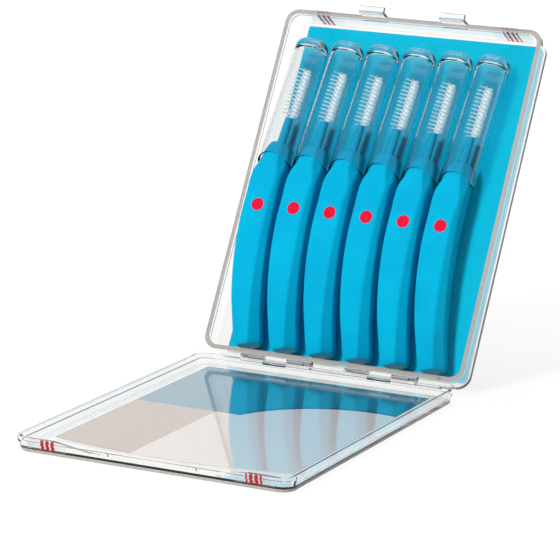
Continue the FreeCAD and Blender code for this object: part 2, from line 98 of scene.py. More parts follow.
class Side(Enum):
    """The two sides of the case."""

    LEFT = "left"
    RIGHT = "right"


class Ray(Enum):
    """The kinds of ray that see the white studio."""

    CAMERA = "Is Camera Ray"
    GLOSSY = "Is Glossy Ray"
    TRANSMISSION = "Is Transmission Ray"


def srgb(code: str) -> tuple[float, float, float, float]:
    """Turns an sRGB hex colour into linear RGBA.

    Args:
        code: The colour, such as "#00B0DC".

    Returns:
        Linear red, green and blue, with an alpha of 1.
    """
    channels = []
    for start in (1, 3, 5):
        value = int(code[start:start + 2], 16) / 255
        channels.append(value / 12.92 if value <= 0.04045 else ((value + 0.055) / 1.055) ** 2.4)
    return (channels[0], channels[1], channels[2], 1.0)


def per_metre(size_mm: float) -> float:
    """Gives the texture scale at which one feature is size_mm wide."""
    return 1.0 / (size_mm * MM)


def add_node(
    tree: bpy.types.NodeTree, kind: str, inputs: dict[Any, Any] | None = None, **settings: Any
) -> Any:
    """Adds one node with its settings, constants and links.

    Args:
        tree: The node tree that gets the node.
        kind: The node's type name.
        inputs: What each input takes, by name or number: a constant, an output to link from, or a
            node whose first output in use is linked.
        settings: Attributes of the node itself.

    Returns:
        The new node.
    """
    node = tree.nodes.new(kind)
    for name, value in settings.items():
        setattr(node, name, value)
    for name, value in (inputs or {}).items():
        if isinstance(value, bpy.types.Node):
            value = next(socket for socket in value.outputs if socket.enabled)
        if isinstance(value, bpy.types.NodeSocket):
            tree.links.new(value, node.inputs[name])
        else:
            node.inputs[name].default_value = value
    return node


def new_material(name: str) -> tuple[bpy.types.Material, bpy.types.NodeTree, Any]:
    """Starts a material with an empty tree.

    Args:
        name: The material's name.

    Returns:
        The material, its tree and its output node.
    """
    material = bpy.data.materials.new(name)
    material.use_nodes = True
    tree = material.node_tree
    tree.nodes.clear()
    return material, tree, add_node(tree, "ShaderNodeOutputMaterial")


def white_studio_rays(tree: bpy.types.NodeTree) -> bpy.types.NodeSocket:
    """Marks the rays that see the white studio and have not yet met a matt surface.

    Args:
        tree: The node tree that asks.

    Returns:
        An output that is 1 for those rays and 0 for the rest.
    """
    path = add_node(tree, "ShaderNodeLightPath")
    seen = path.outputs[Ray.CAMERA.value]
    for ray in (Ray.GLOSSY, Ray.TRANSMISSION):
        either = add_node(tree, "ShaderNodeMath", {0: seen, 1: path.outputs[ray.value]}, operation="MAXIMUM")
        seen = either.outputs["Value"]
    direct = add_node(
        tree, "ShaderNodeMath", {0: path.outputs["Diffuse Depth"], 1: HALF_A_BOUNCE}, operation="LESS_THAN"
    )
    both = add_node(tree, "ShaderNodeMath", {0: seen, 1: direct}, operation="MULTIPLY")
    return both.outputs["Value"]


def dress(piece: bpy.types.Object, *materials: bpy.types.Material) -> None:
    """Gives a piece its materials, in slot order."""
    piece.data.materials.clear()
    for material in materials:
        piece.data.materials.append(material)


def new_piece(
    name: str, corners: list[Vector], faces: list[tuple[int, ...]], smooth: bool
) -> bpy.types.Object:
    """Makes a mesh object in the scene.

    Args:
        name: The object's name.
        corners: Its vertices.
        faces: Its faces, as vertex numbers.
        smooth: Whether its faces are shaded smooth.

    Returns:
        The object.
    """
    mesh = bpy.data.meshes.new(name)
    mesh.from_pydata(corners, [], faces)
    mesh.validate()
    mesh.polygons.foreach_set("use_smooth", [smooth] * len(mesh.polygons))
    mesh.update()
    piece = bpy.data.objects.new(name, mesh)
    bpy.context.scene.collection.objects.link(piece)
    return piece


def lifted_copy(node: bpy.types.Object, name: str, lift: Vector) -> bpy.types.Object:
    """Copies a thin CAD piece and lifts it clear of the face that it lies on.

    Args:
        node: The CAD piece.
        name: The copy's name.
        lift: How far it moves.

    Returns:
        The copy.
    """
    mesh = node.data.copy()
    for vertex in mesh.vertices:
        vertex.co += lift
    piece = bpy.data.objects.new(name, mesh)
    bpy.context.scene.collection.objects.link(piece)
    return piece


@dataclass(frozen=True)
class Ring:
    """One round section of a tube.

    Attributes:
        centre: Its middle.
        first: Unit vector across it.
        second: Unit vector across it, square to the first.
        radius: Its radius.
    """

    centre: Vector
    first: Vector
    second: Vector
    radius: float


def add_tube(corners: list[Vector], faces: list[tuple[int, ...]], rings: list[Ring], sides: int) -> None:
    """Adds a closed tube through a row of rings to a mesh in the making.

    Args:
        corners: The mesh's vertices so far.
        faces: The mesh's faces so far.
        rings: The tube's sections, in order.
        sides: How many sides it has.
    """
    start = len(corners)
    for ring in rings:
        for side in range(sides):
            angle = math.tau * side / sides
            corners.append(
                ring.centre + (ring.first * math.cos(angle) + ring.second * math.sin(angle)) * ring.radius
            )
    for row in range(len(rings) - 1):
        low = start + row * sides
        for side in range(sides):
            following = (side + 1) % sides
            faces.append((low + side, low + following, low + sides + following, low + sides + side))
    faces.append(tuple(start + side for side in reversed(range(sides))))
    faces.append(tuple(len(corners) - sides + side for side in range(sides)))


@dataclass(frozen=True)
class Band:
    """A matt grey band painted on a clear shell's edge: painted shade for the grey line that light bent
    through a clear edge makes.

    Attributes:
        out: Direction that the edge looks in.
        height: How far out the edge lies from the origin.
        depth_mm: How far from the edge the grey reaches.
        facing: Middle and spread of how squarely its faces look out, where 1 is quite squarely.
        colour: The band's painted grey.
        share: How much of the band is matt.
    """

    out: Vector
    height: float
    depth_mm: float
    facing: tuple[float, float]
    colour: str
    share: float

    def cover(self, tree: bpy.types.NodeTree, place: bpy.types.NodeSocket) -> bpy.types.NodeSocket:
        """Finds how matt each place of the shell is.

        Args:
            tree: The node tree that gets the nodes.
            place: Where on the shell the face is.

        Returns:
            The matt share of each place.
        """
        way = tuple(self.out)
        along = add_node(tree, "ShaderNodeVectorMath", {0: place, 1: way}, operation="DOT_PRODUCT")
        near = add_node(
            tree, "ShaderNodeMath", {0: along, 1: self.height, 2: self.depth_mm * MM}, operation="COMPARE"
        )
        normal = add_node(tree, "ShaderNodeTexCoord").outputs["Normal"]
        turned = add_node(tree, "ShaderNodeVectorMath", {0: normal, 1: way}, operation="DOT_PRODUCT")
        square = add_node(
            tree, "ShaderNodeMath", {0: turned, 1: self.facing[0], 2: self.facing[1]}, operation="COMPARE"
        )
        both = add_node(tree, "ShaderNodeMath", {0: near, 1: square}, operation="MULTIPLY")
        part = add_node(tree, "ShaderNodeMath", {0: both, 1: self.share}, operation="MULTIPLY")
        return part.outputs["Value"]


@dataclass(frozen=True)
class ClearPlastic:
    """Clarified polypropylene, injection moulded: clear and glossy, with faint flow ripples.

    Attributes:
        name: The material's name.
        tint: What a surface lets through.
        shade: What each surface lets through of the lamps' light.
        depth_tint: The colour of a long way through the plastic.
        absorption: How fast the depth tint takes hold, per metre.
        ior: Index of refraction.
        gloss: Least and most roughness.
        ripple_mm: Width of a flow ripple.
        ripple_height_mm: Height of a flow ripple.
    """

    name: str
    tint: str
    shade: str
    depth_tint: str
    absorption: float
    ior: float
    gloss: tuple[float, float]
    ripple_mm: float
    ripple_height_mm: float

    def build(self, band: Band | None = None) -> bpy.types.Material:
        """Builds the material, whose faces let lamps through so that what is inside stays lit.

        Args:
            band: The band of painted grey shade at the shell's edge, if it has one.

        Returns:
            The material.
        """
        material, tree, output = new_material(self.name)
        place = add_node(tree, "ShaderNodeTexCoord").outputs["Object"]
        ripple = add_node(
            tree, "ShaderNodeTexNoise",
            {"Vector": place, "Scale": per_metre(self.ripple_mm), "Detail": 2.0, "Roughness": 0.4},
        )
        gloss = add_node(
            tree, "ShaderNodeMapRange", {"Value": ripple, "To Min": self.gloss[0], "To Max": self.gloss[1]}
        )
        bump = add_node(
            tree, "ShaderNodeBump",
            {"Height": ripple, "Strength": 0.6, "Distance": self.ripple_height_mm * MM},
        )
        clear = add_node(
            tree, "ShaderNodeBsdfPrincipled",
            {
                "Base Color": srgb(self.tint), "Roughness": gloss, "IOR": self.ior,
                "Transmission Weight": 1.0, "Normal": bump,
            },
        )
        lit_through = add_node(tree, "ShaderNodeBsdfTransparent", {"Color": srgb(self.shade)})
        path = add_node(tree, "ShaderNodeLightPath")
        surface = add_node(
            tree, "ShaderNodeMixShader", {0: path.outputs["Is Shadow Ray"], 1: clear, 2: lit_through}
        )
        depth = add_node(
            tree, "ShaderNodeVolumeAbsorption", {"Color": srgb(self.depth_tint), "Density": self.absorption}
        )
        if band is not None:
            # The band is painted matt grey over the clear plastic: painted shade for the grey line of a
            # clear edge.
            painted_edge_shade = add_node(tree, "ShaderNodeBsdfDiffuse", {"Color": srgb(band.colour)})
            surface = add_node(
                tree, "ShaderNodeMixShader", {0: band.cover(tree, place), 1: surface, 2: painted_edge_shade}
            )
        tree.links.new(surface.outputs["Shader"], output.inputs["Surface"])
        tree.links.new(depth.outputs["Volume"], output.inputs["Volume"])
        return material


@dataclass(frozen=True)
class MouldedPlastic:
    """Coloured plastic, injection moulded: an even colour with faint flow patches and the tool's fine grain.

    Attributes:
        name: The material's name.
        colour: The plastic's colour.
        deep: The slightly deeper colour of its flow patches.
        roughness: Least and most roughness.
        grain_mm: Width of the tool's grain, drawn coarse enough to show.
        grain_height_mm: Height of that grain.
        patch_mm: Width of a flow patch.
        ior: Index of refraction.
    """

    name: str
    colour: str
    deep: str
    roughness: tuple[float, float]
    grain_mm: float
    grain_height_mm: float
    patch_mm: float
    ior: float

    def build(self) -> bpy.types.Material:
        """Builds the material.

        Returns:
            The material.
        """
        material, tree, output = new_material(self.name)
        place = add_node(tree, "ShaderNodeTexCoord").outputs["Object"]
        patch = add_node(
            tree, "ShaderNodeTexNoise", {"Vector": place, "Scale": per_metre(self.patch_mm), "Detail": 3.0}
        )
        grain = add_node(
            tree, "ShaderNodeTexNoise",
            {"Vector": place, "Scale": per_metre(self.grain_mm), "Detail": 2.0, "Roughness": 0.6},
        )
        share = add_node(tree, "ShaderNodeMapRange", {"Value": patch, "From Min": 0.35, "From Max": 0.65})
        colour = add_node(
            tree, "ShaderNodeMix", {0: share, 6: srgb(self.colour), 7: srgb(self.deep)}, data_type="RGBA"
        )
        gloss = add_node(
            tree, "ShaderNodeMapRange",
            {"Value": grain, "To Min": self.roughness[0], "To Max": self.roughness[1]},
        )
        bump = add_node(
            tree, "ShaderNodeBump",
            {"Height": grain, "Strength": 0.5, "Distance": self.grain_height_mm * MM},
        )
        shader = add_node(
            tree, "ShaderNodeBsdfPrincipled",
            {"Base Color": colour, "Roughness": gloss, "IOR": self.ior, "Normal": bump},
        )
        tree.links.new(shader.outputs["BSDF"], output.inputs["Surface"])
        return material


@dataclass(frozen=True)
class PaperBoard:
    """Coated folding board: a smooth printed or raw face with faint fibres and a dull sheen.

    Attributes:
        name: The material's name.
        colour: Colour of the ink or of the raw board.
        worn: Colour where the fibres show through.
        fibre_mm: Width of a fibre bundle, drawn coarse enough to show.
        roughness: Least and most roughness.
        fibre_height_mm: How far a fibre bundle stands up.
        fibre_run: How finely the fibres lie in x, y and z; a low value draws them long.
    """

    name: str
    colour: str
    worn: str
    fibre_mm: float
    roughness: tuple[float, float]
    fibre_height_mm: float = 0.01
    fibre_run: tuple[float, float, float] = (1.0, 0.35, 0.35)

    def build(self) -> bpy.types.Material:
        """Builds the material.

        Returns:
            The material.
        """
        material, tree, output = new_material(self.name)
        place = add_node(tree, "ShaderNodeTexCoord").outputs["Object"]
        stretch = add_node(tree, "ShaderNodeMapping", {"Vector": place, "Scale": self.fibre_run})
        fibre = add_node(
            tree, "ShaderNodeTexNoise",
            {"Vector": stretch, "Scale": per_metre(self.fibre_mm), "Detail": 4.0},
        )
        share = add_node(tree, "ShaderNodeMapRange", {"Value": fibre, "From Min": 0.45, "From Max": 0.8})
        colour = add_node(
            tree, "ShaderNodeMix", {0: share, 6: srgb(self.colour), 7: srgb(self.worn)}, data_type="RGBA"
        )
        gloss = add_node(
            tree, "ShaderNodeMapRange",
            {"Value": fibre, "To Min": self.roughness[0], "To Max": self.roughness[1]},
        )
        bump = add_node(
            tree, "ShaderNodeBump",
            {"Height": fibre, "Strength": 0.3, "Distance": self.fibre_height_mm * MM},
        )
        shader = add_node(
            tree, "ShaderNodeBsdfPrincipled", {"Base Color": colour, "Roughness": gloss, "Normal": bump}
        )
        tree.links.new(shader.outputs["BSDF"], output.inputs["Surface"])
        return material


@dataclass(frozen=True)
class LabelFilm:
    """Clear polyester film, printed on its back: a pale veil, and an ink band above an arched line.

    Attributes:
        name: The material's name.
        veil: Colour of the pale print under the arch.
        block: Colour of the block at the left: the pale print with a painted reflection of something dark.
        ink: Colour of the band.
        line: Colour of the line that edges the band.
        arch_centre_mm: Middle of the arch, across and along the lid.
        arch_radius_mm: Radius of the arch.
        line_mm: Width of the line.
        block_edge_mm: Where the darker block at the left ends.
        band_edge_mm: Where the band begins, along the lid.
        veil_cover: How much the pale print covers.
        block_cover: How much the darker block covers.
        ink_cover: How much the ink covers.
        smear_mm: Width of a patch where the face is a little duller.
        gloss: Least and most roughness of the print.
        ior: Index of refraction of the film.
        coat_roughness: Roughness of the film's face.
        coat_ior: Index of refraction at that face.
    """

    name: str
    veil: str
    block: str
    ink: str
    line: str
    arch_centre_mm: tuple[float, float]
    arch_radius_mm: float
    line_mm: float
    block_edge_mm: float
    band_edge_mm: float
    veil_cover: float
    block_cover: float
    ink_cover: float
    smear_mm: float
    gloss: tuple[float, float]
    ior: float
    coat_roughness: float
    coat_ior: float

    def build(self) -> bpy.types.Material:
        """Builds the material.

        Returns:
            The material.
        """
        material, tree, output = new_material(self.name)
        place = add_node(tree, "ShaderNodeTexCoord").outputs["Object"]
        flat = add_node(tree, "ShaderNodeVectorMath", {0: place, 1: (1.0, 1.0, 0.0)}, operation="MULTIPLY")
        centre = (self.arch_centre_mm[0] * MM, self.arch_centre_mm[1] * MM, 0.0)
        reach = add_node(tree, "ShaderNodeVectorMath", {0: flat, 1: centre}, operation="DISTANCE")
        beyond = add_node(
            tree, "ShaderNodeMath", {0: reach, 1: self.arch_radius_mm * MM}, operation="SUBTRACT"
        )
        across = add_node(tree, "ShaderNodeSeparateXYZ", {0: place})
        right = add_node(
            tree, "ShaderNodeMath", {0: across.outputs["X"], 1: self.block_edge_mm * MM},
            operation="GREATER_THAN",
        )
        over = add_node(tree, "ShaderNodeMath", {0: beyond, 1: 0.0}, operation="GREATER_THAN")
        upper = add_node(
            tree, "ShaderNodeMath", {0: across.outputs["Y"], 1: self.band_edge_mm * MM},
            operation="GREATER_THAN",
        )
        band = add_node(tree, "ShaderNodeMath", {0: over, 1: upper}, operation="MULTIPLY")
        near = add_node(
            tree, "ShaderNodeMath", {0: beyond, 1: 0.0, 2: self.line_mm * MM / 2}, operation="COMPARE"
        )
        edge = add_node(tree, "ShaderNodeMath", {0: near, 1: upper}, operation="MULTIPLY")
        # Left of the block's edge the colour is painted darker: a painted reflection of something dark over
        # the pale print.
        plain_colour = add_node(
            tree, "ShaderNodeMix", {0: right, 6: srgb(self.block), 7: srgb(self.veil)}, data_type="RGBA"
        )
        inked = add_node(
            tree, "ShaderNodeMix", {0: band, 6: plain_colour, 7: srgb(self.ink)}, data_type="RGBA"
        )
        colour = add_node(tree, "ShaderNodeMix", {0: edge, 6: inked, 7: srgb(self.line)}, data_type="RGBA")
        plain = add_node(
            tree, "ShaderNodeMapRange",
            {"Value": right, "To Min": self.block_cover, "To Max": self.veil_cover},
        )
        printed = add_node(tree, "ShaderNodeMath", {0: band, 1: edge}, operation="MAXIMUM")
        cover = add_node(tree, "ShaderNodeMix", {0: printed, 2: plain, 3: self.ink_cover})
        smear = add_node(
            tree, "ShaderNodeTexNoise", {"Vector": place, "Scale": per_metre(self.smear_mm), "Detail": 2.0}
        )
        gloss = add_node(
            tree, "ShaderNodeMapRange", {"Value": smear, "To Min": self.gloss[0], "To Max": self.gloss[1]}
        )
        shader = add_node(
            tree, "ShaderNodeBsdfPrincipled",
            {
                "Base Color": colour, "Roughness": gloss, "IOR": self.ior,
                "Alpha": cover, "Coat Weight": 1.0, "Coat Roughness": self.coat_roughness,
                "Coat IOR": self.coat_ior,
            },
        )
        tree.links.new(shader.outputs["BSDF"], output.inputs["Surface"])
        return material


@dataclass(frozen=True)
class SealFilm:
    """Clear polypropylene tape with a glossy face, printed with plain red bars.

    Attributes:
        name: The material's name.
        clear: Colour of the bare tape.
        ink: Colour of the bars.
        middle_mm: How far the bars' middle lies from the case's middle.
        spread_mm: Half of the width that the bars take.
        pitch_mm: Distance from bar to bar.
        fill: Share of that distance that is ink.
        clear_cover: How much the bare tape covers.
        ink_cover: How much the ink covers.
        roughness: Roughness of the tape's face.
        through_share: Share of the light that comes through from behind.
    """

    name: str
    clear: str
    ink: str
    middle_mm: float
    spread_mm: float
    pitch_mm: float
    fill: float
    clear_cover: float
    ink_cover: float
    roughness: float
    through_share: float

    def build(self) -> bpy.types.Material:
        """Builds the material.

        Returns:
            The material.
        """
        material, tree, output = new_material(self.name)
        place = add_node(tree, "ShaderNodeTexCoord").outputs["Object"]
        across = add_node(tree, "ShaderNodeSeparateXYZ", {0: place})
        aside = add_node(tree, "ShaderNodeMath", {0: across.outputs["X"]}, operation="ABSOLUTE")
        within = add_node(
            tree, "ShaderNodeMath",
            {0: aside, 1: self.middle_mm * MM, 2: self.spread_mm * MM}, operation="COMPARE",
        )
        steps = add_node(
            tree, "ShaderNodeMath", {0: across.outputs["X"], 1: self.pitch_mm * MM}, operation="DIVIDE"
        )
        share = add_node(tree, "ShaderNodeMath", {0: steps}, operation="FRACT")
        bar = add_node(tree, "ShaderNodeMath", {0: share, 1: self.fill}, operation="LESS_THAN")
        inked = add_node(tree, "ShaderNodeMath", {0: bar, 1: within}, operation="MULTIPLY")
        colour = add_node(
            tree, "ShaderNodeMix", {0: inked, 6: srgb(self.clear), 7: srgb(self.ink)}, data_type="RGBA"
        )
        cover = add_node(
            tree, "ShaderNodeMapRange",
            {"Value": inked, "To Min": self.clear_cover, "To Max": self.ink_cover},
        )
        shader = add_node(
            tree, "ShaderNodeBsdfPrincipled", {"Base Color": colour, "Roughness": self.roughness}
        )
        through = add_node(tree, "ShaderNodeBsdfTranslucent", {"Color": colour})
        thin = add_node(tree, "ShaderNodeMixShader", {0: self.through_share, 1: shader, 2: through})
        open_film = add_node(tree, "ShaderNodeBsdfTransparent", {"Color": srgb(WHITE)})
        film = add_node(tree, "ShaderNodeMixShader", {0: cover, 1: open_film, 2: thin})
        tree.links.new(film.outputs["Shader"], output.inputs["Surface"])
        return material


@dataclass(frozen=True)
class NylonFilament:
    """Drawn nylon monofilament: milky white, soft sheen, a little light through each strand.

    Attributes:
        name: The material's name.
        colour: Colour of a strand.
        shaded: Colour of the greyer strands.
        through: Colour of the light that comes through.
        batch_mm: Width of a patch of greyer strands.
        roughness: Roughness of a strand.
        ior: Index of refraction.
        through_share: Share of the light that comes through from behind.
    """

    name: str
    colour: str
    shaded: str
    through: str
    batch_mm: float
    roughness: float
    ior: float
    through_share: float

    def build(self) -> bpy.types.Material:
        """Builds the material.

        Returns:
            The material.
        """
        material, tree, output = new_material(self.name)
        place = add_node(tree, "ShaderNodeTexCoord").outputs["Object"]
        batch = add_node(
            tree, "ShaderNodeTexNoise", {"Vector": place, "Scale": per_metre(self.batch_mm), "Detail": 2.0}
        )
        colour = add_node(
            tree, "ShaderNodeMix", {0: batch, 6: srgb(self.colour), 7: srgb(self.shaded)}, data_type="RGBA"
        )
        strand = add_node(
            tree, "ShaderNodeBsdfPrincipled",
            {"Base Color": colour, "Roughness": self.roughness, "IOR": self.ior},
        )
        glow = add_node(tree, "ShaderNodeBsdfTranslucent", {"Color": srgb(self.through)})
        shader = add_node(tree, "ShaderNodeMixShader", {0: self.through_share, 1: strand, 2: glow})
        tree.links.new(shader.outputs["Shader"], output.inputs["Surface"])
        return material


# The case: glossy clear plastic that shows grey where one looks a long way through its walls.
CASE_CLEAR = ClearPlastic(
    name="clarified_polypropylene_moulded_case",
    tint="#FDFDFC",
    shade="#F6F6F4",
    depth_tint="#B4AAA2",
    absorption=14.0,
    ior=1.49,
    gloss=(0.02, 0.06),
    ripple_mm=14.0,
    ripple_height_mm=0.012,
)
# The caps: thinner walls of the same plastic, so they mostly show as bright edges and a darker tint.
CAP_CLEAR = ClearPlastic(
    name="clarified_polypropylene_moulded_cap",
    tint="#FCFEFE",
    shade="#E6F0F4",
    depth_tint="#A8B4B8",
    absorption=6.0,
    ior=1.49,
    gloss=(0.02, 0.07),
    ripple_mm=9.0,
    ripple_height_mm=0.008,
)
# The handles: a saturated cyan blue with the even satin of a spark-eroded tool. The IOR is set lower
# than polypropylene's, because that fine texture scatters most of the mirror.
HANDLE_BLUE = MouldedPlastic(
    name="blue_polypropylene_moulded_satin",
    colour="#00B8E0",
    deep="#00AEDA",
    roughness=(0.40, 0.50),
    grain_mm=0.5,
    grain_height_mm=0.006,
    patch_mm=12.0,
    ior=1.35,
)
# The size dots: bright red plastic with a smoother face than the handle's.
DOT_RED = MouldedPlastic(
    name="red_polypropylene_moulded_gloss",
    colour="#F0123A",
    deep="#E40F34",
    roughness=(0.22, 0.32),
    grain_mm=0.6,
    grain_height_mm=0.004,
    patch_mm=1.5,
    ior=1.49,
)
# The wire: steel under a pale nylon coat, so it shows no metal, only a warm white.
WIRE_COAT = MouldedPlastic(
    name="pale_nylon_coated_wire",
    colour="#EBD8D2",
    deep="#DCC8C4",
    roughness=(0.30, 0.42),
    grain_mm=0.4,
    grain_height_mm=0.004,
    patch_mm=0.8,
    ior=1.53,
)
# The card: an even cyan print whose ink lies slightly broken over the board's fibres.
CARD_INK = PaperBoard(
    name="cyan_printed_coated_board", colour="#00BCDC", worn="#00B2D6", fibre_mm=0.9, roughness=(0.42, 0.55)
)
# The card's back and edges: bare board, duller than the print and warmer than paper white.
CARD_RAW = PaperBoard(
    name="white_uncoated_board", colour="#F0EEE8", worn="#E2DED4", fibre_mm=0.6, roughness=(0.75, 0.9)
)
# The label: pale print under a glossy face, which mirrors the brushes that stand over it. Its block at the
# left is painted darker, as a painted reflection of something dark.
LABEL_FILM = LabelFilm(
    name="printed_polyester_label_film",
    veil="#FFF4EC",
    block="#D0B8AA",
    ink="#2890AE",
    line="#243E6E",
    arch_centre_mm=(28.3, -9.2),
    arch_radius_mm=34.3,
    line_mm=1.4,
    block_edge_mm=-10.0,
    band_edge_mm=4.0,
    veil_cover=0.90,
    block_cover=0.90,
    ink_cover=0.92,
    smear_mm=9.0,
    gloss=(0.05, 0.16),
    ior=1.57,
    coat_roughness=0.03,
    coat_ior=1.5,
)
# The seals: clear tape that shows by its red bars and a faint edge.
SEAL_FILM = SealFilm(
    name="clear_polypropylene_seal_tape",
    clear="#F2EEEA",
    ink="#D8323C",
    middle_mm=29.73,
    spread_mm=2.3,
    pitch_mm=1.5,
    fill=0.6,
    clear_cover=0.12,
    ink_cover=0.9,
    roughness=0.12,
    through_share=0.5,
)
# The filaments: milky strands that look white in a bundle and bluish where the card shows through.
FILAMENT_WHITE = NylonFilament(
    name="white_nylon_monofilament",
    colour=WHITE,
    shaded="#F4F8FA",
    through=WHITE,
    batch_mm=0.9,
    roughness=0.38,
    ior=1.53,
    through_share=0.45,
)


@dataclass
class Case:
    """The two clear shells of the case.

    Attributes:
        finish: Their plastic.
        rim_colour: Painted grey of the tray's rim, standing in for the shade of its clear edge.
        rim_depth_mm: How deep the rim's grey goes.
        rim_drop_mm: How far the tray's rim lies behind the hinge axis.
        rim_facing: Middle and spread of how squarely the rim's faces look out.
        foot_colour: Painted grey of the lid's lower edge, standing in for the shade of its clear edge.
        foot_depth_mm: How high the lower edge's grey goes.
        foot_facing: Middle and spread of how squarely the lower edge's faces look down.
        band_share: How much of both bands is matt.
    """

    finish: ClearPlastic
    # Both greys are painted shade: clear edges look grey only because of how light passes through them.
    rim_colour: str = "#9C948E"
    rim_depth_mm: float = 0.5
    rim_drop_mm: float = 0.2
    rim_facing: tuple[float, float] = (1.0, 0.2)
    foot_colour: str = "#D8CEC8"
    foot_depth_mm: float = 0.9
    foot_facing: tuple[float, float] = (0.25, 0.7)
    band_share: float = 0.75

    def dress(self, nodes: dict[str, bpy.types.Object], hinge: Vector, out: Vector) -> None:
        """Gives both shells their plastic.

        Args:
            nodes: The CAD pieces.
            hinge: A point on the hinge axis.
            out: Direction out of the tray.
        """
        height = hinge.dot(out) - self.rim_drop_mm * MM
        down = Vector((0.0, 0.0, -1.0))
        share = self.band_share
        # Both bands paint grey shade onto the clear edges.
        rim = Band(out, height, self.rim_depth_mm, self.rim_facing, self.rim_colour, share)
        foot = Band(down, 0.0, self.foot_depth_mm, self.foot_facing, self.foot_colour, share)
        for half, band in ((Half.TRAY, rim), (Half.LID, foot)):
            dress(nodes[f"case_{half.value}"], self.finish.build(band))
            log.info("dressed case_%s", half.value)


@dataclass
class Card:
    """The printed card on the tray's floor.

    Attributes:
        front: Finish of its printed face.
        raw: Finish of its edges and back.
        lift_mm: How far its copy lies clear of the tray's floor.
        ink_facing: How squarely a face has to look out to be printed, where 1 is quite squarely.
    """

    front: PaperBoard
    raw: PaperBoard
    lift_mm: float
    ink_facing: float = 0.5

    def build(self, node: bpy.types.Object, out: Vector) -> None:
        """Builds the card from its CAD piece, with ink on the face that looks out.

        Args:
            node: The CAD card.
            out: Direction out of the tray.
        """
        piece = lifted_copy(node, "card", out * self.lift_mm * MM)
        dress(piece, self.front.build(), self.raw.build())
        for face in piece.data.polygons:
            face.material_index = 0 if face.normal.dot(out) > self.ink_facing else 1
        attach(piece, Half.TRAY.value)
        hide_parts(node.name)
        log.info("built %s with %d faces", piece.name, len(piece.data.polygons))


@dataclass
class Films:
    """The label on the lid's floor and the four halves of the cut seals.

    Attributes:
        label: Finish of the label.
        seal: Finish of the seals.
        lift_mm: How far each film's copy lies clear of the plastic under it.
    """

    label: LabelFilm
    seal: SealFilm
    lift_mm: float

    def build(self, nodes: dict[str, bpy.types.Object], up: Vector, out: Vector) -> None:
        """Builds the films from their CAD pieces.

        Args:
            nodes: The CAD pieces.
            up: Direction up the tray.
            out: Direction out of the tray.
        """
        lift = self.lift_mm * MM
        label = lifted_copy(nodes["lid_label"], "label", Vector((0.0, 0.0, lift)))
        dress(label, self.label.build())
        self._place(label, Half.LID, "lid_label")
        tape = self.seal.build()
        lifts = {Half.TRAY: up * lift - out * lift, Half.LID: Vector((0.0, -lift, -lift))}
        for half in Half:
            for side in Side:
                node = f"{half.value}_seal_{side.value}"
                seal = lifted_copy(nodes[node], f"{half.value}_tape_{side.value}", lifts[half])
                dress(seal, tape)
                self._place(seal, half, node)

    def _place(self, film: bpy.types.Object, half: Half, node: str) -> None:
        """Lets a film ride on its half of the case in place of its CAD piece."""
        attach(film, half.value)
        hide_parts(node)
        log.info("built %s", film.name)


